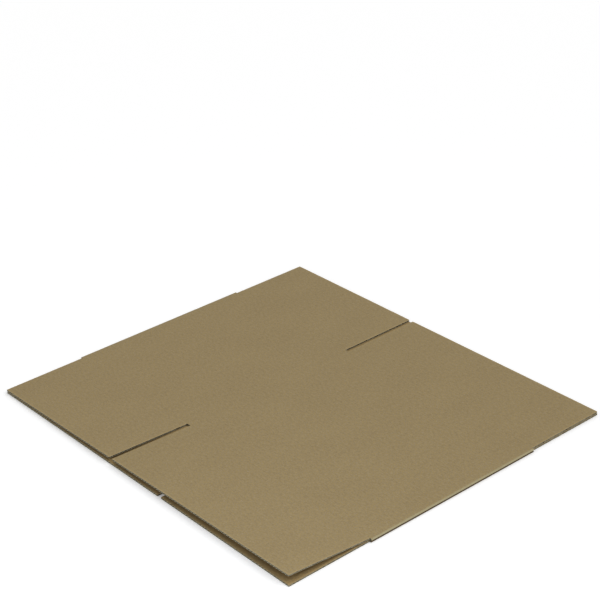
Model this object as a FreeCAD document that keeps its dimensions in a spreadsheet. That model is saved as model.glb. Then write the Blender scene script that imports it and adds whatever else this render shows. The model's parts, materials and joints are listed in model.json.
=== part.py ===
# A corrugated shipping box folded flat: one sheet of single-wall board, scored and slotted, glued into a
# sleeve and pressed flat along two of its four upright creases.
# Frame, in millimetres: +X runs along the near cut edge, +Y along the flutes and the side folds, +Z up.
# The origin is the middle of the underside.

import FreeCAD, Part
import Sketcher
import math
import os

document = FreeCAD.newDocument("FlattenedBox")

# Driving dimensions: alias, value and what it measures
DIMENSIONS = [
    ("long_panel", 430, "long side panel, crease to crease"),
    ("short_panel", 305, "short side panel, crease to crease"),
    ("body_height", 341, "side panels, flap crease to flap crease, along the flutes"),
    ("flap_length", 152, "flap crease to cut edge"),
    ("board", 3, "thickness of the board"),
    ("liner", 0.35, "thickness of one liner"),
    ("medium", 0.3, "thickness of the wavy sheet between the liners"),
    ("flute_pitch", 6.5, "crest to crest of the wavy sheet"),
    ("flute_crush", 5, "flutes pressed shut beside a flap crease"),
    ("edge_wall", 0.8, "least closed edge beside the outermost flute"),
    ("layer_gap", 0.8, "space between the two layers, held open by the folds"),
    ("slot_width", 8, "slot between two flaps"),
    ("crease_gap", 0.4, "clearance of an upper flap at its crease"),
    ("score_depth", 0.4, "depth of a scored crease"),
    ("score_half", 1.5, "half the width of a scored crease"),
    ("fold_valley", 1.1, "depth of the valley along the middle of a side fold"),
    ("fold_valley_half", 1, "half the height of that valley's mouth"),
    ("corner_lift", 14, "rise of the sprung near corner above the flat"),
    ("seam_gap", 1.6, "slit between the panel ends at the glued joint"),
    ("tab_width", 35, "glue tab, from the joint to its tip"),
    ("tab_root", 4, "glue tab, from the joint back onto its own panel"),
    ("tab_inset", 3, "glue tab's end to the flap crease, at its root"),
    ("tab_taper", 9, "how much further each tab end draws in at its tip"),
    ("tab_step", 0.5, "how far the crushed tab stands above its layer"),
]

# Sizes that follow from the driving ones
DERIVED = [
    ("half_length", "(long_panel + short_panel) / 2", "middle to a side fold"),
    ("half_body", "body_height / 2", "middle to a flap crease"),
    ("half_depth", "half_body + flap_length", "middle to a cut edge"),
    ("panel_end", "half_body - crease_gap / 2", "middle to the end of an upper panel"),
    ("upper_floor", "board + layer_gap", "underside of the upper layer"),
    ("stack_height", "2 * board + layer_gap", "both layers together"),
    ("upper_crease", "short_panel - half_length", "crease between the two upper panels"),
    ("seam", "long_panel - half_length", "glued joint in the lower layer"),
    ("half_slot", "slot_width / 2", "middle of a slot to a flap's edge"),
    ("flute_length", "flap_length - flute_crush", "open flute, in from the cut edge"),
    ("flute_slope", "2 * (board - 2 * liner) / flute_pitch", "rise over run of the wavy sheet"),
    ("flute_half", "(flute_pitch - medium * sqrt(1 + 1 / flute_slope ^ 2)) / 2", "half of a flute's base"),
    ("flute_rise", "flute_half * flute_slope", "height of a flute"),
    ("flap_margins", "slot_width + 2 * edge_wall", "what a panel's width loses beside its flutes"),
    ("long_flutes", "floor((long_panel - flap_margins) / flute_pitch - 0.5)", "pairs per long flap"),
    ("short_flutes", "floor((short_panel - flap_margins) / flute_pitch - 0.5)", "pairs per short flap"),
]

box = document.addObject("Spreadsheet::Sheet", "Box")
box.Label = "Dimensions"
ROWS = [(alias, str(value), meaning) for alias, value, meaning in DIMENSIONS]
ROWS += [(alias, "=" + formula, meaning) for alias, formula, meaning in DERIVED]
for row, (alias, content, meaning) in enumerate(ROWS, start=1):
    box.set(f"A{row}", meaning)
    box.set(f"B{row}", content)
    box.setAlias(f"B{row}", alias)
document.recompute()

# Where the flaps of each layer begin and end along X, and how many flutes each holds
LOWER_LONG = ("Box.half_slot - Box.half_length", "Box.seam - Box.half_slot", "Box.long_flutes")
LOWER_SHORT = ("Box.seam + Box.half_slot", "Box.half_length - Box.half_slot", "Box.short_flutes")
UPPER_SHORT = ("Box.half_slot - Box.half_length", "Box.upper_crease - Box.half_slot", "Box.short_flutes")
UPPER_LONG = ("Box.upper_crease + Box.half_slot", "Box.half_length - Box.half_slot", "Box.long_flutes")
FRONT = -1
REAR = 1


def number(expression):
    """The value that an expression has now."""
    return float(box.evalExpression(expression))


def bind(sketch, name, expression, *constraint):
    """Adds a named sketch dimension that follows an expression."""
    index = sketch.addConstraint(Sketcher.Constraint(*constraint, number(expression)))
    sketch.renameConstraint(index, name)
    sketch.setExpression("Constraints." + name, expression)


def draw_polygon(sketch, name, corners):
    """Draws a closed outline through corners given as pairs of expressions."""
    places = [FreeCAD.Vector(number(across), number(up), 0) for across, up in corners]
    followers = places[1:] + places[:1]
    edges = [
        sketch.addGeometry(Part.LineSegment(start, end), False) for start, end in zip(places, followers)
    ]
    for edge, following in zip(edges, edges[1:] + edges[:1]):
        sketch.addConstraint(Sketcher.Constraint("Coincident", edge, 2, following, 1))
    for index, (edge, (across, up)) in enumerate(zip(edges, corners)):
        bind(sketch, f"{name}_across_{index}", across, "DistanceX", -1, 1, edge, 1)
        bind(sketch, f"{name}_up_{index}", up, "DistanceY", -1, 1, edge, 1)


def draw_rectangle(sketch, name, low, high, bottom, top):
    """Draws a rectangle between expressions for its four sides."""
    draw_polygon(sketch, name, [(low, bottom), (high, bottom), (high, top), (low, top)])


def draw_stadium(sketch, name, half_width, middle, radius):
    """Draws two level lines joined by half circles, centred on the upright axis."""
    reach = number(half_width) - number(radius)
    height = number(middle)
    bend = number(radius)
    left = FreeCAD.Vector(-reach, height, 0)
    right = FreeCAD.Vector(reach, height, 0)
    drop = FreeCAD.Vector(0, bend, 0)
    normal = FreeCAD.Vector(0, 0, 1)
    quarter = math.pi / 2
    bottom = sketch.addGeometry(Part.LineSegment(left - drop, right - drop), False)
    right_arc = sketch.addGeometry(
        Part.ArcOfCircle(Part.Circle(right, normal, bend), -quarter, quarter), False
    )
    top = sketch.addGeometry(Part.LineSegment(right + drop, left + drop), False)
    left_arc = sketch.addGeometry(
        Part.ArcOfCircle(Part.Circle(left, normal, bend), quarter, 3 * quarter), False
    )
    for edge, following in ((bottom, right_arc), (right_arc, top), (top, left_arc), (left_arc, bottom)):
        sketch.addConstraint(Sketcher.Constraint("Tangent", edge, 2, following, 1))
    sketch.addConstraint(Sketcher.Constraint("Horizontal", bottom))
    bind(sketch, name + "_radius", radius, "Radius", right_arc)
    bind(sketch, name + "_middle", middle, "DistanceY", -1, 1, right_arc, 3)
    bind(sketch, name + "_right", f"{half_width} - {radius}", "DistanceX", -1, 1, right_arc, 3)
    bind(sketch, name + "_left", f"{radius} - {half_width}", "DistanceX", -1, 1, left_arc, 3)


def flute_start(low, high, count):
    """Where the first flute begins, with the row of flutes centred between a flap's edges."""
    return f"({low} + {high} - ({count} + 0.5) * Box.flute_pitch) / 2"


# The folded sheet: a sleeve of two layers joined by round folds, with the flaps of the lower layer

folded = document.addObject("PartDesign::Body", "FoldedSheet")
folded.Label = "folded_sheet"


def sheet_sketch(name, role, offset="0"):
    """A sketch of the folded sheet on one of its base planes, moved along the plane's normal."""
    sketch = folded.newObject("Sketcher::SketchObject", name)
    plane = next(feature for feature in folded.Origin.OriginFeatures if feature.Role == role)
    sketch.AttachmentSupport = [(plane, "")]
    sketch.MapMode = "FlatFace"
    sketch.setExpression("AttachmentOffset.Base.z", offset)
    return sketch


def pad(name, sketch, length, side="One side"):
    """Adds a sketch's area, carried along its normal."""
    feature = folded.newObject("PartDesign::Pad", name)
    feature.Profile = sketch
    feature.SideType = side
    feature.setExpression("Length", length)
    document.recompute()
    return feature


def pocket(name, sketch, length=None, turned=False):
    """Cuts a sketch's area away: by a length behind its plane, or before it if turned, or right through."""
    before = folded.Shape.Volume
    feature = folded.newObject("PartDesign::Pocket", name)
    feature.Profile = sketch
    feature.Reversed = turned
    if length is None:
        feature.Type = "ThroughAll"
        feature.SideType = "Symmetric"
    else:
        feature.setExpression("Length", length)
    document.recompute()
    if folded.Shape.Volume >= before:
        raise RuntimeError(name + " cut nothing")
    return feature


# Sleeve: outer skin and the flat space between its layers
section = sheet_sketch("SleeveSection", "XZ_Plane")
draw_stadium(section, "skin", "Box.half_length", "Box.stack_height / 2", "Box.stack_height / 2")
draw_stadium(
    section,
    "space",
    "(Box.half_length - Box.board)",
    "Box.stack_height / 2",
    "Box.layer_gap / 2",
)
pad("Sleeve", section, "2 * Box.panel_end", side="Symmetric")

# Flaps of the lower layer
outline = sheet_sketch("LowerFlapOutline", "XY_Plane")
for side, side_name in ((FRONT, "front"), (REAR, "rear")):
    for kind, (low, high, _) in (("long", LOWER_LONG), ("short", LOWER_SHORT)):
        draw_rectangle(
            outline, f"{side_name}_{kind}", low, high, f"{side} * Box.panel_end", f"{side} * Box.half_depth"
        )
pad("LowerFlaps", outline, "Box.board")

# Glue tab, folded in from the short panel and stuck on the inside of the long one
tab_root = "Box.half_body - Box.tab_inset"
tab_tip = "Box.half_body - Box.tab_inset - Box.tab_taper"
tab_outline = sheet_sketch("GlueTabOutline", "XY_Plane", "Box.board")
draw_polygon(
    tab_outline,
    "tab",
    [
        ("Box.seam - Box.tab_width", f"-({tab_tip})"),
        ("Box.seam + Box.tab_root", f"-({tab_root})"),
        ("Box.seam + Box.tab_root", tab_root),
        ("Box.seam - Box.tab_width", tab_tip),
    ],
)
pad("GlueTab", tab_outline, "Box.tab_step")

# Slit between the two panel ends that the tab joins
slit = sheet_sketch("SeamSlit", "XY_Plane")
draw_rectangle(
    slit,
    "slit",
    "Box.seam - Box.seam_gap / 2",
    "Box.seam + Box.seam_gap / 2",
    "-Box.panel_end",
    "Box.panel_end",
)
pocket("Seam", slit, "Box.board", turned=True)

# Scored creases of the flaps: valleys in the outer liner, below on the lower layer and above on the upper
scores = sheet_sketch("FlapScores", "YZ_Plane")
for side, side_name in ((FRONT, "front"), (REAR, "rear")):
    crease = f"{side} * Box.half_body"
    near = f"{crease} - Box.score_half"
    far = f"{crease} + Box.score_half"
    draw_polygon(scores, f"{side_name}_lower", [(near, "0"), (far, "0"), (crease, "Box.score_depth")])
    draw_polygon(
        scores,
        f"{side_name}_upper",
        [
            (near, "Box.stack_height"),
            (crease, "Box.stack_height - Box.score_depth"),
            (far, "Box.stack_height"),
        ],
    )
pocket("FlapCreases", scores)

# Scored crease between the two upper panels
panel_score = sheet_sketch("PanelScore", "XZ_Plane")
draw_polygon(
    panel_score,
    "panel",
    [
        ("Box.upper_crease - Box.score_half", "Box.stack_height"),
        ("Box.upper_crease", "Box.stack_height - Box.score_depth"),
        ("Box.upper_crease + Box.score_half", "Box.stack_height"),
    ],
)
pocket("PanelCrease", panel_score)

# Valley along the middle of each side fold, where the outer liner gives way between the two layers
fold_scores = sheet_sketch("FoldScores", "XZ_Plane")
for side, side_name in ((-1, "left"), (1, "right")):
    draw_polygon(
        fold_scores,
        side_name,
        [
            (f"{side} * Box.half_length", "Box.stack_height / 2 - Box.fold_valley_half"),
            (f"{side} * Box.half_length", "Box.stack_height / 2 + Box.fold_valley_half"),
            (f"{side} * (Box.half_length - Box.fold_valley)", "Box.stack_height / 2"),
        ],
    )
pocket("FoldValleys", fold_scores)


def lower_flutes(name, side, low, high, count):
    """Opens the flutes of one lower flap, from its cut edge to the crushed board at its crease."""
    # The plane's normal points to the front, so a front offset is positive
    sketch = sheet_sketch(name + "Profile", "XZ_Plane", f"{-side} * Box.half_depth")
    first = flute_start(low, high, count)
    rising = f"{first} + Box.flute_pitch / 2"
    hanging = f"{first} + Box.flute_pitch"
    ceiling = "Box.board - Box.liner"
    draw_polygon(
        sketch,
        "rising",
        [
            (f"{rising} - Box.flute_half", "Box.liner"),
            (f"{rising} + Box.flute_half", "Box.liner"),
            (rising, "Box.liner + Box.flute_rise"),
        ],
    )
    draw_polygon(
        sketch,
        "hanging",
        [
            (f"{hanging} - Box.flute_half", ceiling),
            (hanging, f"{ceiling} - Box.flute_rise"),
            (f"{hanging} + Box.flute_half", ceiling),
        ],
    )
    cut = pocket(name, sketch, "Box.flute_length", turned=side == REAR)
    row = folded.newObject("PartDesign::LinearPattern", name + "Row")
    row.Originals = [cut]
    row.Direction = (sketch, ["H_Axis"])
    row.setExpression("Length", f"({count} - 1) * Box.flute_pitch")
    row.setExpression("Occurrences", count)
    folded.Tip = row
    document.recompute()


lower_flutes("FrontLongFlutes", FRONT, *LOWER_LONG)
lower_flutes("FrontShortFlutes", FRONT, *LOWER_SHORT)
lower_flutes("RearLongFlutes", REAR, *LOWER_LONG)
lower_flutes("RearShortFlutes", REAR, *LOWER_SHORT)


# Flaps of the upper layer, each a piece that turns at its crease

def rise(across, away, corner_lift):
    """How far a sprung flap stands above the flat: nothing at its crease, most at the near right corner."""
    share = f"(({across}) + Box.half_length) / (2 * Box.half_length)"
    return f"{corner_lift} * {share} * ({away}) / Box.flap_length"


def flap_section(name, side, low, high, away, top, corner_lift):
    """An upright section of an upper flap, at one distance from its crease."""
    sketch = document.addObject("Sketcher::SketchObject", name)
    upright = FreeCAD.Rotation(FreeCAD.Vector(1, 0, 0), 90)
    sketch.Placement = FreeCAD.Placement(FreeCAD.Vector(0, 0, 0), upright)
    sketch.setExpression("Placement.Base.y", f"{side} * (Box.half_body + {away})")
    low_rise = rise(low, away, corner_lift)
    high_rise = rise(high, away, corner_lift)
    draw_polygon(
        sketch,
        "section",
        [
            (low, f"Box.upper_floor + {low_rise}"),
            (high, f"Box.upper_floor + {high_rise}"),
            (high, f"{top} + {high_rise}"),
            (low, f"{top} + {low_rise}"),
        ],
    )
    return sketch


def flute_tools(side, low, high, count, corner_lift):
    """Straight three-sided rods that fill a flap's flutes, each along the flap's own slope there."""
    pitch = number("Box.flute_pitch")
    half = number("Box.flute_half")
    height = number("Box.flute_rise")
    floor = number("Box.upper_floor + Box.liner")
    ceiling = number("Box.stack_height - Box.liner")
    root = number("Box.half_body + Box.flute_crush")
    past_edge = number("Box.liner")
    reach = number("Box.flute_length") + past_edge
    start = number(flute_start(low, high, count))
    rods = []
    for step in range(2 * int(number(count))):
        middle = start + (step + 1) * pitch / 2
        if step % 2:
            base, tip = ceiling, ceiling - height
        else:
            base, tip = floor, floor + height
        lift_at_root = number(rise(repr(middle), "Box.flute_crush", corner_lift))
        lift_at_end = number(rise(repr(middle), f"(Box.flap_length + {past_edge!r})", corner_lift))
        corners = [
            FreeCAD.Vector(middle + across, side * root, up + lift_at_root)
            for across, up in ((-half, base), (half, base), (0, tip), (-half, base))
        ]
        face = Part.Face(Part.makePolygon(corners))
        rods.append(face.extrude(FreeCAD.Vector(0, side * reach, lift_at_end - lift_at_root)))
    return Part.makeCompound(rods)


def upper_flap(label, side, low, high, count, corner_lift="0"):
    """An upper flap: a ruled board from its scored root to its cut edge, with open flutes at that edge."""
    stem = label.title().replace("_", "")
    top = "Box.stack_height"
    stations = [
        ("Root", "Box.crease_gap / 2", f"{top} - Box.score_depth"),
        ("Shoulder", "Box.score_half", top),
        ("Edge", "Box.flap_length", top),
    ]
    blank = document.addObject("Part::Loft", stem + "Board")
    blank.Sections = [
        flap_section(stem + place, side, low, high, away, upper, corner_lift)
        for place, away, upper in stations
    ]
    blank.Solid = True
    blank.Ruled = True
    flutes = document.addObject("Part::Feature", stem + "Flutes")
    flutes.Shape = flute_tools(side, low, high, count, corner_lift)
    flap = document.addObject("Part::Cut", stem)
    flap.Base = blank
    flap.Tool = flutes
    flap.Label = label
    return flap


pieces = [
    folded,
    upper_flap("front_short_flap", FRONT, *UPPER_SHORT, corner_lift="Box.corner_lift"),
    upper_flap("front_long_flap", FRONT, *UPPER_LONG, corner_lift="Box.corner_lift"),
    upper_flap("rear_short_flap", REAR, *UPPER_SHORT),
    upper_flap("rear_long_flap", REAR, *UPPER_LONG),
]
document.recompute()

for item in document.Objects:
    if "Invalid" in item.State or "Error" in item.State:
        raise RuntimeError(f"{item.Label} failed: {item.State}")

for piece in pieces:
    if piece.Shape.isNull() or not piece.Shape.isValid() or len(piece.Shape.Solids) != 1:
        raise RuntimeError(piece.Label + " is not one sound solid")

os.makedirs("parts", exist_ok=True)
for piece in pieces:
    piece.Shape.exportStep(f"parts/{piece.Label}.step")
    print(piece.Label, "volume", round(piece.Shape.Volume), "faces", len(piece.Shape.Faces))
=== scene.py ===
# The looks of a corrugated shipping box folded flat.
# Everything is laid out on the flat blank that the box is cut from and then carried to its folded place:
# u runs across the flutes, from the glued joint round both side folds and back to it, v runs along the
# flutes, and w goes down into the board from its outer face. All lengths are in metres.

import json
import math

import bpy
import numpy as np
from mathutils import Matrix, Vector


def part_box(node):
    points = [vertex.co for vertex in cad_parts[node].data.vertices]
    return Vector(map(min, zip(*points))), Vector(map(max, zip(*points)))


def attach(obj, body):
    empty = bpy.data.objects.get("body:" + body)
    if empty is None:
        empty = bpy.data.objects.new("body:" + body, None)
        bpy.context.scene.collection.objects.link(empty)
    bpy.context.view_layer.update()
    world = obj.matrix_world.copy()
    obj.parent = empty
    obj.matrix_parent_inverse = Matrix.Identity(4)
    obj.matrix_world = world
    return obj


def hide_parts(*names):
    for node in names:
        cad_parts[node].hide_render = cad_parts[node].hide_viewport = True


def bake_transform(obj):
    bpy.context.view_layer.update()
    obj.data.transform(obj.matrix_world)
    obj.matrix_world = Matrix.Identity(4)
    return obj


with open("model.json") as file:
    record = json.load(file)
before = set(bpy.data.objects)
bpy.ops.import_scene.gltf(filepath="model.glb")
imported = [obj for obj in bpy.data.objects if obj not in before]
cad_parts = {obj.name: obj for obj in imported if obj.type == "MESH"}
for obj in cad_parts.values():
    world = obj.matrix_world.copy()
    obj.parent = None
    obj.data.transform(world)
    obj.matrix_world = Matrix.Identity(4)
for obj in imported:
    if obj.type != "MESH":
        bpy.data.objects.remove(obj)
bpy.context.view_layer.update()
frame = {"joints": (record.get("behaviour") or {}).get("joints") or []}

# Sizes read from the frame
sheet_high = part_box("folded_sheet")[1]
rear_short_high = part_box("rear_short_flap")[1]
rear_long_low, rear_long_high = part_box("rear_long_flap")
sprung_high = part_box("front_long_flap")[1]

half_depth = sheet_high.y
stack = sheet_high.z
board = rear_long_high.z - rear_long_low.z
upper_crease = (rear_short_high.x + rear_long_low.x) / 2
half_slot = (rear_long_low.x - rear_short_high.x) / 2
seam = -upper_crease
flap_end = rear_long_high.x
half_length = flap_end + half_slot
half_body = abs(frame["joints"][0]["pos_m"][1])
flap_length = half_depth - half_body
panel_end = 2 * half_body - rear_long_low.y
corner_lift = (sprung_high.z - stack) * 2 * half_length / (flap_end + half_length)

# Sizes of the board and its folds
LINER = 0.00035
MEDIUM = 0.00042
FLUTE_PITCH = 0.0065
FLUTE_SAMPLES = 12
MOUTH_SWELL = 0.001
MOUTH_DEPTH = 0.0009
SEAM_GAP = 0.0016
SCORE_HALF = 0.0015
SCORE_DEPTH = 0.00014
PINCH_WIDTH = 0.003
PINCH_DEPTH = 0.00035
FOLD_SQUARENESS = 3.6
FOLD_VALLEY = 0.0021
FOLD_VALLEY_ANGLE = 0.34
FOLD_CRUSH = 0.5
FOLD_COLUMNS = 41
FOLD_CRUSH_REACH = 0.75
TAB_WIDTH = 0.035
TAB_ROOT = 0.004
TAB_INSET = 0.003
TAB_TAPER = 0.009
TAB_STEP = 0.0005
TAB_SUNK = 0.00005
TAB_RAISED = 0.00002
TAB_RIDGE = 0.00004

# Cut and torn edges: how far they wander, and the tufts that stand out of them
SIDE_RAGGEDNESS = 0.0003
END_RAGGEDNESS = 0.00012
END_TURN = 0.004
MEDIUM_INSET = 0.0006
TORN_DEPTH = 0.0011
TORN_WANDER = 0.0009
TORN_TURN = 0.0035
TORN_ROUGHNESS = 0.0004
TORN_BESIDE_LINER = 0.0004
TORN_JITTER = 0.00016
TORN_THICKNESS = 0.0002
TUFT_SHARE = 0.07
TUFT_LENGTH = 0.0007
TUFT_LIGHT = 0.8
FIBRE_PLACE = -0.237
FIBRE_LENGTH = 0.0024

# Steps between the points of the meshes
BROAD_STEP = 0.012
RIM_ZONE = 0.010
RIM_PLACES = np.array([0, 0.0004, 0.001, 0.0018, 0.0028, 0.004])
LINER_STEP = 0.0022
MEDIUM_STEP = 0.05
TORN_STEP = 0.0007
TORN_ROWS = 6
CREASE_STEP = 0.008
CREASE_COLUMNS = 9
BESIDE_EDGE = 0.00004
SLEEVE_LINER_ROWS = 61
SLEEVE_MEDIUM_ROWS = 5
TAB_POINT_STEP = 0.002
TAB_ROWS = 41

# How far the paper is worn, where on a side fold's lips the worn colour is also a painted highlight, and
# how dark the painted shade along a fold's valley is: 0 is sound paper, and 1 shows only the other colour
RIM_WEAR = 0.45
RIM_WIDTH = 0.001
# The lips of a side fold are lighter partly from wear and partly as painted highlight: the upper lip where
# it faces the light, the lower lip where light from the floor falls.
UPPER_LIP_WEAR_AND_HIGHLIGHT = 0.6
LOWER_LIP_WEAR_AND_HIGHLIGHT = 0.1
# Painted shade: the dark line along the valley of a side fold.
VALLEY_DARKNESS = 1.0

# Places and widths round a side fold, as shares of it: 0 is the upper face, and 1 the lower one
FOLD_VALLEY_PLACE = 0.62
VALLEY_SHARE = 0.1
VALLEY_EDGE = 0.05
UPPER_LIP = 0.34
UPPER_LIP_WIDTH = 0.18
LOWER_LIP = 0.84
LOWER_LIP_WIDTH = 0.09

fold_radius = stack / 2
straight = half_length - fold_radius
arc = math.pi * fold_radius
wave_height = (board - 2 * LINER - MEDIUM) / 2

# Pixels of the photograph's frame, and the camera found from the corners of the box
FRAME_WIDTH = 600
FOCAL_PIXELS = 1709.3
SENSOR = 36.0
CAMERA_PLACE = Vector((1.8517, -1.5088, 1.4490))
CAMERA_AIM = Vector((-0.2625, 0.2361, 0.0))
CAMERA_RIGHT = Vector((0.6517, 0.75749, -0.03868))


def linear(red, green, blue):
    """A colour written as 0 to 255 on screen, in the renderer's linear values."""
    shares = [channel / 255 for channel in (red, green, blue)]
    return tuple(
        share / 12.92 if share <= 0.04045 else ((share + 0.055) / 1.055) ** 2.4 for share in shares
    ) + (1.0,)


# Materials

def node_tree(name):
    """An empty node material with its output, and a shader for it."""
    material = bpy.data.materials.new(name)
    material.use_nodes = True
    tree = material.node_tree
    tree.nodes.clear()
    output = tree.nodes.new("ShaderNodeOutputMaterial")
    shader = tree.nodes.new("ShaderNodeBsdfPrincipled")
    tree.links.new(shader.outputs["BSDF"], output.inputs["Surface"])
    return material, tree, shader


def add_math(tree, operation, first, second=None):
    """One arithmetic node on numbers or sockets, and its result."""
    node = tree.nodes.new("ShaderNodeMath")
    node.operation = operation
    for socket, value in zip(node.inputs, (first, second)):
        if value is None:
            continue
        if isinstance(value, bpy.types.NodeSocket):
            tree.links.new(value, socket)
        else:
            socket.default_value = value
    return node.outputs[0]


def add_noise(tree, place, scale, detail=4.0, roughness=0.55, stretch=(1.0, 1.0), offset=0.0):
    """Noise over the blank, stretched along u or v: its value about 0.5."""
    mapping = tree.nodes.new("ShaderNodeMapping")
    mapping.inputs["Scale"].default_value = (stretch[0], stretch[1], 1.0)
    mapping.inputs["Location"].default_value = (offset, offset, offset)
    tree.links.new(place, mapping.inputs["Vector"])
    noise = tree.nodes.new("ShaderNodeTexNoise")
    noise.inputs["Scale"].default_value = scale
    noise.inputs["Detail"].default_value = detail
    noise.inputs["Roughness"].default_value = roughness
    tree.links.new(mapping.outputs["Vector"], noise.inputs["Vector"])
    return noise.outputs["Fac"]


def add_blend(tree, factor, first, second):
    """A colour between two colours or sockets."""
    mix = tree.nodes.new("ShaderNodeMix")
    mix.data_type = "RGBA"
    if isinstance(factor, bpy.types.NodeSocket):
        tree.links.new(factor, mix.inputs["Factor"])
    else:
        mix.inputs["Factor"].default_value = factor
    for name, value in (("A", first), ("B", second)):
        socket = next(item for item in mix.inputs if item.name == name and item.type == "RGBA")
        if isinstance(value, bpy.types.NodeSocket):
            tree.links.new(value, socket)
        else:
            socket.default_value = value
    return next(item for item in mix.outputs if item.type == "RGBA")


def add_range(tree, value, low, high, to_low=0.0, to_high=1.0):
    """A value carried from one range to another, and held inside it."""
    node = tree.nodes.new("ShaderNodeMapRange")
    tree.links.new(value, node.inputs["Value"])
    node.inputs["From Min"].default_value = low
    node.inputs["From Max"].default_value = high
    node.inputs["To Min"].default_value = to_low
    node.inputs["To Max"].default_value = to_high
    return node.outputs["Result"]


def add_bump(tree, shader, height, strength, distance):
    """Relief from a height."""
    bump = tree.nodes.new("ShaderNodeBump")
    bump.inputs["Strength"].default_value = strength
    bump.inputs["Distance"].default_value = distance
    tree.links.new(height, bump.inputs["Height"])
    tree.links.new(bump.outputs["Normal"], shader.inputs["Normal"])


def attribute_share(tree, name):
    """A share that a mesh keeps at its points, such as how worn it is there, which on a side fold's lips is
    also a painted highlight.
    """
    attribute = tree.nodes.new("ShaderNodeAttribute")
    attribute.attribute_name = name
    return attribute.outputs["Fac"]


def kraft_paper(name, light, warm_light, dark, worn_and_highlight, valley_shade, speck, speck_share, washboard):
    """Brown paper: long fibres across the flutes, small specks, worn rims that on a side fold's lips are
    also a painted highlight, and painted shade along the folds' valleys.
    """
    material, tree, shader = node_tree(name)
    blank = tree.nodes.new("ShaderNodeUVMap")
    blank.uv_map = "Blank"
    place = blank.outputs["UV"]

    clouds = add_noise(tree, place, 14.0, detail=3.0, stretch=(1.0, 0.6))
    mottle = add_noise(tree, place, 230.0, detail=3.0, roughness=0.65, stretch=(0.6, 1.0), offset=5.0)
    fibres = add_noise(tree, place, 900.0, detail=6.0, roughness=0.7, stretch=(0.35, 1.0), offset=3.0)
    grain = add_noise(tree, place, 480.0, detail=2.0, roughness=0.6, stretch=(0.7, 1.0), offset=7.0)
    tone = add_math(tree, "MULTIPLY", clouds, 0.08)
    tone = add_math(tree, "ADD", tone, add_math(tree, "MULTIPLY", mottle, 0.3))
    tone = add_math(tree, "ADD", tone, add_math(tree, "MULTIPLY", fibres, 0.3))
    tone = add_math(tree, "ADD", tone, add_math(tree, "MULTIPLY", grain, 0.32))
    tone = add_range(tree, tone, 0.39, 0.61)
    tint = add_noise(tree, place, 420.0, detail=2.0, offset=11.0)
    warm = add_blend(tree, add_range(tree, tint, 0.38, 0.62), light, warm_light)
    colour = add_blend(tree, tone, dark, warm)

    spots = tree.nodes.new("ShaderNodeTexVoronoi")
    spots.inputs["Scale"].default_value = 95.0
    tree.links.new(place, spots.inputs["Vector"])
    chosen = tree.nodes.new("ShaderNodeSeparateColor")
    tree.links.new(spots.outputs["Color"], chosen.inputs["Color"])
    few = add_math(tree, "LESS_THAN", chosen.outputs[0], speck_share)
    size = add_range(tree, chosen.outputs[1], 0.0, 1.0, 0.03, 0.09)
    near = add_math(tree, "LESS_THAN", spots.outputs["Distance"], size)
    spotted = add_math(tree, "MULTIPLY", few, near)
    colour = add_blend(tree, add_math(tree, "MULTIPLY", spotted, 0.55), colour, speck)

    # Worn colour along the rims; on the lips of a side fold it is also a painted highlight.
    uneven = add_range(tree, fibres, 0.3, 0.6, 0.55, 1.0)
    worn_and_highlight_share = add_math(tree, "MULTIPLY", attribute_share(tree, "wear_and_highlight"), uneven)
    colour = add_blend(tree, worn_and_highlight_share, colour, worn_and_highlight)
    # Painted shade: the dark line along the valley of a side fold.
    colour = add_blend(tree, attribute_share(tree, "valley_shade"), colour, valley_shade)
    tree.links.new(colour, shader.inputs["Base Color"])

    axes = tree.nodes.new("ShaderNodeSeparateXYZ")
    tree.links.new(place, axes.inputs["Vector"])
    wave = add_math(tree, "SINE", add_math(tree, "MULTIPLY", axes.outputs["X"], 2 * math.pi / FLUTE_PITCH))
    relief = add_math(tree, "MULTIPLY", wave, washboard)
    relief = add_math(tree, "ADD", relief, add_math(tree, "ADD", fibres, mottle))
    add_bump(tree, shader, relief, 0.35, 0.0003)

    roughness = add_range(tree, grain, 0.3, 0.7, 0.78, 0.92)
    tree.links.new(roughness, shader.inputs["Roughness"])
    shader.inputs["Specular IOR Level"].default_value = 0.25
    return material


def cut_paper(name, light, dark, patches=600.0, low=0.38, high=0.62):
    """The raw edge of a cut or torn sheet: short fibres, light and dark, and lighter torn tufts. On torn
    and slot edges the dark colour is painted shade of the hollow flutes behind the edge.
    """
    material, tree, shader = node_tree(name)
    blank = tree.nodes.new("ShaderNodeUVMap")
    blank.uv_map = "Blank"
    place = blank.outputs["UV"]
    coarse = add_noise(tree, place, patches, detail=4.0, roughness=0.7)
    fine = add_noise(tree, place, 2600.0, detail=3.0, roughness=0.7, offset=5.0)
    tone = add_math(tree, "MULTIPLY", coarse, 0.7)
    tone = add_math(tree, "ADD", tone, add_math(tree, "MULTIPLY", fine, 0.3))
    colour = add_blend(tree, add_range(tree, tone, low, high), dark, light)
    colour = add_blend(tree, attribute_share(tree, "wear_and_highlight"), colour, TUFT_COLOUR)
    tree.links.new(colour, shader.inputs["Base Color"])
    add_bump(tree, shader, fine, 0.5, 0.0002)
    shader.inputs["Roughness"].default_value = 0.95
    shader.inputs["Specular IOR Level"].default_value = 0.15
    return material


TUFT_COLOUR = linear(196, 192, 172)
OUTER_PAPER = {
    "light": linear(156, 141, 112),
    "warm_light": linear(161, 139, 88),
    "dark": linear(135, 117, 83),
    # Painted shade for the dark line along the valley of a side fold.
    "valley_shade": linear(68, 50, 33),
    "speck": linear(92, 74, 46),
    "speck_share": 0.02,
    "washboard": 0.2,
}
# The fold paper's light olive worn colour is partly wear and partly a painted highlight on the lips of the
# side folds.
fold_kraft = kraft_paper("fold_kraft", worn_and_highlight=linear(181, 177, 144), **OUTER_PAPER)
outer_kraft = kraft_paper("outer_kraft", worn_and_highlight=linear(196, 168, 116), **OUTER_PAPER)
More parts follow.
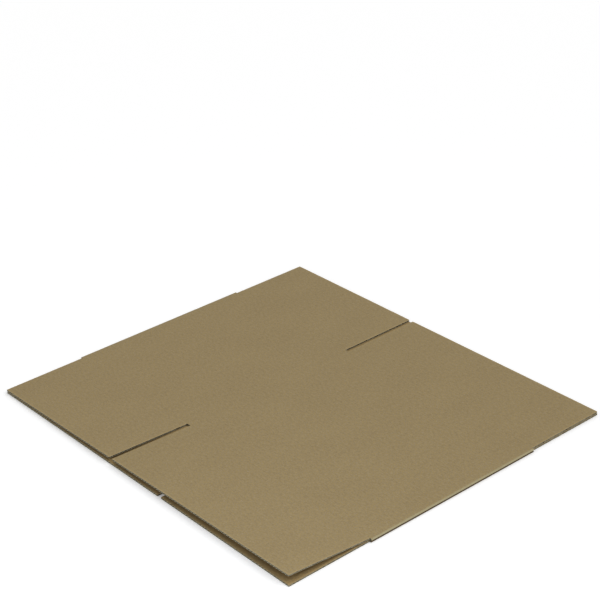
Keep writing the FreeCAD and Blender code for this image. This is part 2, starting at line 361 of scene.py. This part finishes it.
# The inner paper is set a little lighter than the outer kraft: painted light that brightens the shaded slot
# floors and the strip under the sprung corner.
inner_kraft = kraft_paper(
    "inner_kraft",
    light=linear(164, 144, 107),
    warm_light=linear(168, 142, 90),
    dark=linear(142, 120, 82),
    worn_and_highlight=linear(172, 152, 110),
    # Painted shade for the dark line along the valley of a side fold.
    valley_shade=linear(80, 59, 40),
    speck=linear(84, 64, 38),
    speck_share=0.03,
    washboard=0.6,
)
# Painted shade: the paper inside the board, seen only through the open flutes and torn edges, is much
# darker than the kraft to stand for the shade in the hollow flutes.
shaded_flute_paper = kraft_paper(
    "shaded_flute_paper",
    light=linear(98, 91, 72),
    warm_light=linear(100, 88, 64),
    dark=linear(70, 63, 48),
    worn_and_highlight=linear(160, 158, 138),
    # Painted shade for the dark line along the valley of a side fold.
    valley_shade=linear(60, 48, 34),
    speck=linear(50, 42, 30),
    speck_share=0.05,
    washboard=0.0,
)
liner_edge = cut_paper("liner_edge", light=linear(190, 166, 122), dark=linear(146, 124, 86))
medium_edge = cut_paper("medium_edge", light=linear(182, 180, 158), dark=linear(132, 128, 108))
# The torn edge's dark colour is painted shade of the hollow flutes behind the torn paper; its light colour
# and tufts are the paper's own.
torn_edge = cut_paper(
    "torn_edge", light=linear(166, 164, 142), dark=linear(44, 41, 32), patches=260.0, low=0.47, high=0.58
)
# Painted shade: the walls of the slots are near black, standing for the shade in the slots and in the
# hollow flutes behind them.
shaded_slot_edge = cut_paper(
    "shaded_slot_edge", light=linear(66, 59, 44), dark=linear(16, 14, 10), patches=320.0, low=0.45, high=0.62
)
FOLD_FINISH = (fold_kraft, shaded_flute_paper, liner_edge)
OUTER_FINISH = (outer_kraft, shaded_flute_paper, liner_edge)
INNER_FINISH = (shaded_flute_paper, inner_kraft, liner_edge)
MEDIUM_FINISH = (shaded_flute_paper, shaded_flute_paper, medium_edge)
TORN_FINISH = (torn_edge, torn_edge, torn_edge)
SLOT_FINISH = (shaded_slot_edge, shaded_slot_edge, shaded_slot_edge)
CREASE_FINISH = (outer_kraft, inner_kraft, torn_edge)
TAB_FINISH = (inner_kraft, outer_kraft, liner_edge)


# Places on the blank

def sleeve_place(u, v, w, lift):
    """Where a point of the blank lies once the box is folded flat; lift springs the near flaps upward."""
    u, v, w = np.broadcast_arrays(*np.atleast_1d(u, v, w))
    side = np.sign(u)
    reach = np.abs(u)
    angle = np.clip((reach - straight) / fold_radius, 0, math.pi)
    valley = bell(angle, FOLD_VALLEY_PLACE * math.pi, FOLD_VALLEY_ANGLE) * valley_depth(u, v)
    valley = np.where((angle > 0) & (angle < math.pi), valley, 0) * (1 - w / board)
    square = np.abs(np.sin(angle)) ** FOLD_SQUARENESS + np.abs(np.cos(angle)) ** FOLD_SQUARENESS
    radius = (fold_radius - w) * square ** (-1 / FOLD_SQUARENESS) - valley
    beyond = np.clip(reach - straight - arc, 0, None)
    across = np.where(
        reach <= straight, reach, np.where(beyond > 0, straight - beyond, straight + radius * np.sin(angle))
    )
    up = fold_radius + radius * np.cos(angle)
    across = side * across
    share = (across + half_length) / (2 * half_length)
    away = np.clip(-v - half_body, 0, None)
    up = up + lift * share * away / flap_length
    return np.stack([across, v, up], axis=-1)


def valley_depth(u, v):
    """How deep the valley along a side fold is: it wanders along the fold."""
    wander = 0.1 * np.sin(v * 37 + np.sign(u)) + 0.08 * np.sin(v * 113 + 2 * np.sign(u))
    return FOLD_VALLEY * (0.82 + wander)


def lower_u(x):
    """The place on the blank of a point of the lower layer."""
    x = np.asarray(x, float)
    return np.where(x > seam, straight + arc + straight - x, -(straight + arc + straight + x))


def smooth_step(share):
    """0 to 1 with no corner at either end."""
    share = np.clip(share, 0, 1)
    return share * share * (3 - 2 * share)


def bell(value, middle, width):
    """1 at the middle, and falling smoothly to 0 on both sides of it."""
    return np.exp(-(((value - middle) / width) ** 2))


def pinch(u, w, low, high, share=1):
    """Brings the two faces of the board together beside edges cut along the flutes."""
    edge = np.minimum(np.abs(u - low), np.abs(u - high))
    closing = share * 2 * PINCH_DEPTH / board * (1 - smooth_step(edge / PINCH_WIDTH))
    return board / 2 + (w - board / 2) * (1 - closing)


# Meshes

def keep_share(mesh, name, share, count):
    """Keeps a share, such as how worn the sheet is (on a side fold's lips also a painted highlight), at the
    points of both its faces.
    """
    attribute = mesh.attributes.new(name, "FLOAT", "POINT")
    share = np.zeros(count) if share is None else np.asarray(share, float).reshape(-1)
    attribute.data.foreach_set("value", np.concatenate([share, share]).astype(np.float32))


def closed_slab(name, face, back, blank, finish, wear_and_highlight=None, valley_shade=None):
    """A closed thin sheet between two grids of points, with its places on the blank as a map."""
    columns, rows = face.shape[:2]
    count = columns * rows
    index = np.arange(count).reshape(columns, rows)
    quads = np.stack([index[:-1, :-1], index[1:, :-1], index[1:, 1:], index[:-1, 1:]], -1).reshape(-1, 4)
    rim = np.concatenate([index[:, 0], index[-1, 1:], index[-2::-1, -1], index[0, -2:0:-1]])
    following = np.roll(rim, -1)
    walls = np.stack([rim, rim + count, following + count, following], -1)
    faces = np.concatenate([quads, quads[:, ::-1] + count, walls])
    mesh = bpy.data.meshes.new(name)
    points = np.concatenate([face.reshape(-1, 3), back.reshape(-1, 3)])
    mesh.from_pydata(points.tolist(), [], faces.tolist())
    for material in finish:
        mesh.materials.append(material)
    slots = np.concatenate([np.zeros(len(quads)), np.ones(len(quads)), np.full(len(walls), 2)])
    mesh.polygons.foreach_set("material_index", slots.astype(np.int32))

    corner = np.empty(len(mesh.loops), np.int32)
    mesh.loops.foreach_get("vertex_index", corner)
    depth = np.linalg.norm(face - back, axis=-1).reshape(-1, 1)
    flat = blank.reshape(-1, 2)
    places = np.concatenate([flat, flat + depth])
    layer = mesh.uv_layers.new(name="Blank")
    layer.data.foreach_set("uv", places[corner].astype(np.float32).ravel())

    keep_share(mesh, "wear_and_highlight", wear_and_highlight, count)
    keep_share(mesh, "valley_shade", valley_shade, count)
    mesh.shade_smooth()
    mesh.set_sharp_from_angle(angle=math.radians(40))
    piece = bpy.data.objects.new(name, mesh)
    bpy.context.scene.collection.objects.link(piece)
    return piece


def spread(low, high, step):
    """Even places from low to high, about a step apart."""
    return np.linspace(low, high, max(2, int(round(abs(high - low) / step)) + 1))


def wave_depth(u, swell=0):
    """How deep the medium's middle lies, and half its height there; swell thickens it on one side."""
    phase = 2 * math.pi * u / FLUTE_PITCH
    swell = swell * (1 + np.cos(phase)) / 2
    middle = board / 2 + wave_height * np.cos(phase) - swell / 2
    slope = wave_height * 2 * math.pi / FLUTE_PITCH * np.sin(phase)
    return middle, MEDIUM / 2 * np.sqrt(1 + slope**2) + swell / 2


# Pieces

class Flap:
    """A flap of the blank: its name, body and node, its end of the sleeve, and where it begins and ends."""

    def __init__(self, name, body, node, side, low, high, lift):
        self.name = name
        self.body = body
        self.node = node
        self.side = side
        self.low = min(low, high)
        self.high = max(low, high)
        self.lift = lift
        self.root = side * (half_body + SCORE_HALF)
        self.edge = side * half_depth

    def attach(self, piece):
        """Makes a piece of this flap move with it."""
        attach(piece, self.body)
        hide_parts(self.node)

    def rows(self, step):
        """Places along the flutes, front to rear."""
        return spread(min(self.root, self.edge), max(self.root, self.edge), step)


def ragged(generator, places, step, depth):
    """A smoothly wandering line: up to depth off straight, with a new turn about every step."""
    knots = np.arange(places.min() - step, places.max() + 2 * step, step)
    return np.interp(places, knots, generator.uniform(-depth, depth, len(knots)))


def flap_liner(flap, part, outer_depth, inner_depth, finish, generator):
    """One paper face of a flap, with its side edges pinched and slightly ragged."""
    inside = spread(flap.low + RIM_ZONE, flap.high - RIM_ZONE, BROAD_STEP)
    u = np.concatenate([flap.low + RIM_PLACES, inside, flap.high - RIM_PLACES[::-1]])
    v = flap.rows(LINER_STEP)
    grid_u, grid_v = np.meshgrid(u, v, indexing="ij")
    for column, sign in ((0, 1), (-1, -1)):
        grid_u[column] += sign * np.abs(ragged(generator, v, LINER_STEP, SIDE_RAGGEDNESS))
    end_row = 0 if flap.side < 0 else -1
    grid_v[:, end_row] -= flap.side * np.abs(ragged(generator, u, END_TURN, END_RAGGEDNESS))
    face = sleeve_place(grid_u, grid_v, pinch(grid_u, outer_depth, flap.low, flap.high), flap.lift)
    back = sleeve_place(grid_u, grid_v, pinch(grid_u, inner_depth, flap.low, flap.high), flap.lift)
    side_distance = np.minimum(grid_u - flap.low, flap.high - grid_u)
    end_distance = np.abs(grid_v - flap.edge)
    wear_and_highlight = RIM_WEAR * np.exp(-np.minimum(side_distance, end_distance) / RIM_WIDTH)
    piece = closed_slab(f"{flap.name}_{part}", face, back, np.stack([grid_u, grid_v], -1), finish, wear_and_highlight)
    flap.attach(piece)


def flap_medium(flap):
    """The wavy sheet inside a flap, squashed thicker where the cut opens its flutes."""
    count = int((flap.high - flap.low) / FLUTE_PITCH * FLUTE_SAMPLES)
    u = np.linspace(flap.low + MEDIUM_INSET, flap.high - MEDIUM_INSET, count)
    behind_mouth = flap.edge - flap.side * np.array([0, 0.5, 1, 2]) * MOUTH_DEPTH
    v = np.unique(np.concatenate([flap.rows(MEDIUM_STEP)[1:-1], behind_mouth, [flap.root]]))
    grid_u, grid_v = np.meshgrid(u, v, indexing="ij")
    mouth = 1 - smooth_step(np.abs(grid_v - flap.edge) / (2 * MOUTH_DEPTH))
    middle, half = wave_depth(grid_u, MOUTH_SWELL * mouth)
    face = sleeve_place(grid_u, grid_v, pinch(grid_u, middle - half, flap.low, flap.high), flap.lift)
    back = sleeve_place(grid_u, grid_v, pinch(grid_u, middle + half, flap.low, flap.high), flap.lift)
    blank = np.stack([grid_u, grid_v], -1)
    piece = closed_slab(f"{flap.name}_medium", face, back, blank, MEDIUM_FINISH)
    flap.attach(piece)


def torn_strip(flap, part, edge, inward, finish, generator, fibre=None):
    """The squashed and torn edge of the wavy sheet where the board was cut along its flutes."""
    v = flap.rows(TORN_STEP)
    w = np.linspace(LINER, board - LINER, TORN_ROWS)
    grid_v, grid_w = np.meshgrid(v, w, indexing="ij")
    wander = TORN_DEPTH + ragged(generator, v, TORN_TURN, TORN_WANDER)
    offset = wander[:, None] + generator.uniform(-TORN_ROUGHNESS, TORN_ROUGHNESS, grid_v.shape)
    tufts = generator.uniform(0, 1, grid_v.shape) < TUFT_SHARE
    offset = np.where(tufts, -generator.uniform(0.0, TUFT_LENGTH, grid_v.shape), offset)
    light = np.where(tufts, TUFT_LIGHT, 0.0)
    if fibre is not None:
        row = int(np.argmin(np.abs(v - fibre)))
        offset[row, 1:3] = -FIBRE_LENGTH
        light[row, 1:3] = 1.0
    offset[:, (0, -1)] = TORN_BESIDE_LINER
    jitter = generator.uniform(-TORN_JITTER, TORN_JITTER, grid_w.shape)
    jitter[:, (0, -1)] = 0
    grid_u = edge + inward * offset
    depth = pinch(grid_u, grid_w + jitter, flap.low, flap.high)
    face = sleeve_place(grid_u, grid_v, depth, flap.lift)
    back = sleeve_place(grid_u + inward * TORN_THICKNESS, grid_v, depth, flap.lift)
    blank = np.stack([grid_v, grid_w], -1)
    if inward > 0:
        face, back, blank, light = face[:, ::-1], back[:, ::-1], blank[:, ::-1], light[:, ::-1]
    piece = closed_slab(f"{flap.name}_{part}", face, back, blank, finish, light)
    flap.attach(piece)


def crease(flap):
    """The scored line where a flap turns: squashed board with a shallow valley in its outer face."""
    turns = np.array([1.0, 0.8, 0.55, 0.266, 0.18, 0.09, 0.0])
    across = np.concatenate([-turns, turns[-2::-1]]) * SCORE_HALF
    v = flap.side * half_body + across
    u = spread(flap.low, flap.high, CREASE_STEP)
    grid_u, grid_v = np.meshgrid(u, v, indexing="ij")
    share = np.abs(grid_v - flap.side * half_body) / SCORE_HALF
    outer_depth = SCORE_DEPTH * (1 - smooth_step(share))
    closing = smooth_step((np.abs(grid_v) - half_body + SCORE_HALF) / (2 * SCORE_HALF))
    face = sleeve_place(grid_u, grid_v, pinch(grid_u, outer_depth, flap.low, flap.high, closing), flap.lift)
    back = sleeve_place(grid_u, grid_v, pinch(grid_u, board, flap.low, flap.high, closing), flap.lift)
    blank = np.stack([grid_u, grid_v], -1)
    piece = closed_slab(f"{flap.name}_crease", face, back, blank, CREASE_FINISH)
    if flap.body == "sheet":
        flap.attach(piece)
        return
    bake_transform(piece)
    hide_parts(flap.node)


def build_flap(flap, seed):
    """All the papers of one flap."""
    generator = np.random.default_rng(seed)
    flap_liner(flap, "outer_liner", 0, LINER, OUTER_FINISH, generator)
    flap_liner(flap, "inner_liner", board - LINER, board, INNER_FINISH, generator)
    flap_medium(flap)
    for part, edge, inward in (("left_torn_edge", flap.low, 1), ("right_torn_edge", flap.high, -1)):
        beside_fold = abs(abs(edge) - straight - arc / 2) < arc
        finish = TORN_FINISH if beside_fold else SLOT_FINISH
        fibre = FIBRE_PLACE if (flap.name, inward) == ("front_short_flap", -1) else None
        torn_strip(flap, part, edge, inward, finish, generator, fibre)
    crease(flap)


# The sleeve

def sleeve_columns(step):
    """Places across the whole blank: close together at folds, creases and the edges of flaps."""
    ends = [flap.low for flap in FLAPS] + [flap.high for flap in FLAPS]
    places = [spread(seam_left, seam_right, step)]
    for side in (-1, 1):
        places.append(side * np.linspace(straight, straight + arc, FOLD_COLUMNS))
    places.append(upper_crease + SCORE_HALF * np.linspace(-1, 1, CREASE_COLUMNS))
    places.append(np.array([end + shift for end in ends for shift in (-BESIDE_EDGE, BESIDE_EDGE)]))
    columns = np.unique(np.round(np.concatenate(places), 7))
    return columns[(columns >= seam_left) & (columns <= seam_right)]


def sleeve_reach(u):
    """How far the sleeve's papers go along the flutes: to a crease, or to the cut beside a slot."""
    covered = np.zeros(u.shape, bool)
    for flap in FLAPS:
        covered |= (u > flap.low) & (u < flap.high)
    return np.where(covered, half_body - SCORE_HALF, panel_end)


def sleeve_rows(u, share):
    """The places along the flutes of every column and row of the sleeve."""
    return sleeve_reach(u)[:, None] * share[None, :]


def sleeve_liner(part, outer_depth, inner_depth, finish):
    """One paper face of the sleeve, right round both side folds."""
    u = sleeve_columns(BROAD_STEP)
    share = np.linspace(-1, 1, SLEEVE_LINER_ROWS)
    grid_u = np.repeat(u[:, None], len(share), 1)
    grid_v = sleeve_rows(u, share)
    valley = SCORE_DEPTH * (1 - smooth_step(np.abs(grid_u - upper_crease) / SCORE_HALF))
    valley = valley * (1 - outer_depth / board)
    face = sleeve_place(grid_u, grid_v, outer_depth + valley, 0)
    back = sleeve_place(grid_u, grid_v, inner_depth + valley, 0)
    fold = (np.abs(grid_u) - straight) / arc
    # Wear on the lips of each side fold, also a painted highlight: strong on the upper lip, faint on the
    # lower one.
    wear_and_highlight = UPPER_LIP_WEAR_AND_HIGHLIGHT * bell(fold, UPPER_LIP, UPPER_LIP_WIDTH)
    wear_and_highlight = wear_and_highlight + LOWER_LIP_WEAR_AND_HIGHLIGHT * bell(fold, LOWER_LIP, LOWER_LIP_WIDTH)
    # Painted shade: a dark line along the valley of each side fold.
    from_valley = np.abs(fold - FOLD_VALLEY_PLACE)
    valley_shade = VALLEY_DARKNESS * (1 - smooth_step((from_valley - VALLEY_SHARE) / VALLEY_EDGE))
    blank = np.stack([grid_u, grid_v], -1)
    piece = closed_slab(f"sleeve_{part}", face, back, blank, finish, wear_and_highlight, valley_shade)
    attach(piece, "sheet")
    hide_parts("folded_sheet")


def sleeve_medium():
    """The wavy sheet between the sleeve's papers, squashed where it goes round the folds."""
    count = int((seam_right - seam_left) / FLUTE_PITCH * FLUTE_SAMPLES)
    ends = [end for flap in FLAPS for end in (flap.low, flap.high)]
    beside = [end + shift for end in ends for shift in (-BESIDE_EDGE, BESIDE_EDGE)]
    u = np.unique(np.concatenate([np.linspace(seam_left, seam_right, count), beside]))
    u = u[(u >= seam_left) & (u <= seam_right)]
    share = np.linspace(-1, 1, SLEEVE_MEDIUM_ROWS)
    grid_u = np.repeat(u[:, None], len(share), 1)
    grid_v = sleeve_rows(u, share)
    middle, half = wave_depth(grid_u)
    fold = np.clip(1 - np.abs((np.abs(grid_u) - straight - arc / 2) / (arc * FOLD_CRUSH_REACH)), 0, 1)
    crush = 1 - FOLD_CRUSH * smooth_step(fold * 2)
    middle = board / 2 + (middle - board / 2) * crush
    half = half * crush
    face = sleeve_place(grid_u, grid_v, middle - half, 0)
    back = sleeve_place(grid_u, grid_v, middle + half, 0)
    piece = closed_slab("sleeve_medium", face, back, np.stack([grid_u, grid_v], -1), MEDIUM_FINISH)
    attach(piece, "sheet")
    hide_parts("folded_sheet")


def glue_tab():
    """The squashed tab that joins the short panel to the inside of the long one."""
    x = spread(seam - TAB_WIDTH, seam + TAB_ROOT, TAB_POINT_STEP)
    share = np.linspace(-1, 1, TAB_ROWS)
    half_width = half_body - TAB_INSET - TAB_TAPER * (seam + TAB_ROOT - x) / (TAB_WIDTH + TAB_ROOT)
    grid_x = np.repeat(x[:, None], len(share), 1)
    grid_y = half_width[:, None] * share[None, :]
    ridges = TAB_RIDGE * np.cos(2 * math.pi * grid_x / FLUTE_PITCH)
    top = np.stack([grid_x, grid_y, board + TAB_STEP - TAB_SUNK + ridges], -1)
    bottom = np.stack([grid_x, grid_y, np.full(grid_x.shape, board + TAB_RAISED)], -1)
    blank = np.stack([grid_x, grid_y], -1)
    piece = closed_slab("glue_tab", top, bottom, blank, TAB_FINISH)
    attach(piece, "sheet")
    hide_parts("folded_sheet")


seam_left = float(lower_u(seam - SEAM_GAP / 2))
seam_right = float(lower_u(seam + SEAM_GAP / 2))

FLAPS = []
for end_name, side in (("front", -1), ("rear", 1)):
    spring = corner_lift if side < 0 else 0
    FLAPS += [
        Flap(
            f"{end_name}_short_flap", f"{end_name}_short", f"{end_name}_short_flap",
            side, -flap_end, upper_crease - half_slot, spring,
        ),
        Flap(
            f"{end_name}_long_flap", f"{end_name}_long", f"{end_name}_long_flap",
            side, upper_crease + half_slot, flap_end, spring,
        ),
        Flap(
            f"lower_{end_name}_long_flap", "sheet", "folded_sheet",
            side, float(lower_u(-flap_end)), float(lower_u(seam - half_slot)), 0,
        ),
        Flap(
            f"lower_{end_name}_short_flap", "sheet", "folded_sheet",
            side, float(lower_u(seam + half_slot)), float(lower_u(flap_end)), 0,
        ),
    ]

for seed, flap in enumerate(FLAPS, start=1):
    build_flap(flap, seed)
sleeve_liner("outer_liner", 0, LINER, FOLD_FINISH)
sleeve_liner("inner_liner", board - LINER, board, INNER_FINISH)
sleeve_medium()
glue_tab()


# Stage, light and camera

FLOOR_SIZE = 30.0
FLOOR_DROP = 0.0003
FLOOR_BOUNCE = 0.8
FLOOR_WHITE = 1.0
FLOOR_LIFT = 0.15


def seen_directly(tree):
    """1 for rays from the camera, from gloss and through glass, and 0 for light that is scattered."""
    path = tree.nodes.new("ShaderNodeLightPath")
    seen = add_math(tree, "MAXIMUM", path.outputs["Is Camera Ray"], path.outputs["Is Glossy Ray"])
    return add_math(tree, "MAXIMUM", seen, path.outputs["Is Transmission Ray"])


def white_floor():
    """A white floor that keeps the object's shadow."""
    half = FLOOR_SIZE / 2
    mesh = bpy.data.meshes.new("floor")
    corners = [(-half, -half), (half, -half), (half, half), (-half, half)]
    mesh.from_pydata([(x, y, -FLOOR_DROP) for x, y in corners], [], [(0, 1, 2, 3)])
    floor = bpy.data.objects.new("floor", mesh)
    bpy.context.scene.collection.objects.link(floor)
    material, tree, shader = node_tree("floor_white")
    seen = seen_directly(tree)
    colour = add_blend(tree, seen, (FLOOR_BOUNCE,) * 3 + (1.0,), (FLOOR_WHITE,) * 3 + (1.0,))
    tree.links.new(colour, shader.inputs["Base Color"])
    shader.inputs["Roughness"].default_value = 1.0
    shader.inputs["Specular IOR Level"].default_value = 0.0
    shader.inputs["Emission Color"].default_value = (1.0, 1.0, 1.0, 1.0)
    tree.links.new(add_math(tree, "MULTIPLY", seen, FLOOR_LIFT), shader.inputs["Emission Strength"])
    mesh.materials.append(material)


WORLD_LIGHT = 0.6
KEY_STRENGTH = 1.0
KEY_SOFTNESS = math.radians(50)
KEY_FROM = Vector((1.0, 0.6, 1.4))
FRONT_PLACE = Vector((0.55, -0.5, 0.55))
FRONT_SIZE = 0.5
FRONT_POWER = 1.1
FRONT_COLOUR = (0.88, 0.93, 1.0)


def white_world():
    """White to the camera, and an even soft light on the object."""
    world = bpy.data.worlds.new("studio")
    bpy.context.scene.world = world
    world.use_nodes = True
    tree = world.node_tree
    tree.nodes.clear()
    output = tree.nodes.new("ShaderNodeOutputWorld")
    background = tree.nodes.new("ShaderNodeBackground")
    background.inputs["Color"].default_value = (1.0, 1.0, 1.0, 1.0)
    strength = add_range(tree, seen_directly(tree), 0.0, 1.0, WORLD_LIGHT, 1.0)
    tree.links.new(strength, background.inputs["Strength"])
    tree.links.new(background.outputs["Background"], output.inputs["Surface"])


def key_light():
    """One broad soft light, from above on the right."""
    data = bpy.data.lights.new("key", "SUN")
    data.energy = KEY_STRENGTH
    data.angle = KEY_SOFTNESS
    lamp = bpy.data.objects.new("key", data)
    lamp.rotation_euler = KEY_FROM.to_track_quat("Z", "Y").to_euler()
    bpy.context.scene.collection.objects.link(lamp)


def front_light():
    """A weaker soft light over the near corner, so that the board darkens a little towards the back."""
    data = bpy.data.lights.new("front", "AREA")
    data.shape = "DISK"
    data.size = FRONT_SIZE
    data.energy = FRONT_POWER
    data.color = FRONT_COLOUR
    lamp = bpy.data.objects.new("front", data)
    lamp.location = FRONT_PLACE
    lamp.rotation_euler = FRONT_PLACE.to_track_quat("Z", "Y").to_euler()
    bpy.context.scene.collection.objects.link(lamp)


def photograph_camera():
    """The photograph's view, with its slight roll."""
    data = bpy.data.cameras.new("camera")
    data.sensor_fit = "HORIZONTAL"
    data.sensor_width = SENSOR
    data.lens = FOCAL_PIXELS / FRAME_WIDTH * SENSOR
    data.clip_end = 100
    camera = bpy.data.objects.new("camera", data)
    forward = (CAMERA_AIM - CAMERA_PLACE).normalized()
    right = (CAMERA_RIGHT - forward * CAMERA_RIGHT.dot(forward)).normalized()
    up = right.cross(forward)
    turn = Matrix((right, up, -forward)).transposed()
    camera.matrix_world = Matrix.LocRotScale(CAMERA_PLACE, turn.to_quaternion(), None)
    bpy.context.scene.collection.objects.link(camera)
    bpy.context.scene.camera = camera


white_floor()
white_world()
key_light()
front_light()
photograph_camera()
bpy.context.scene.view_settings.view_transform = "Standard"

bpy.context.view_layer.update()
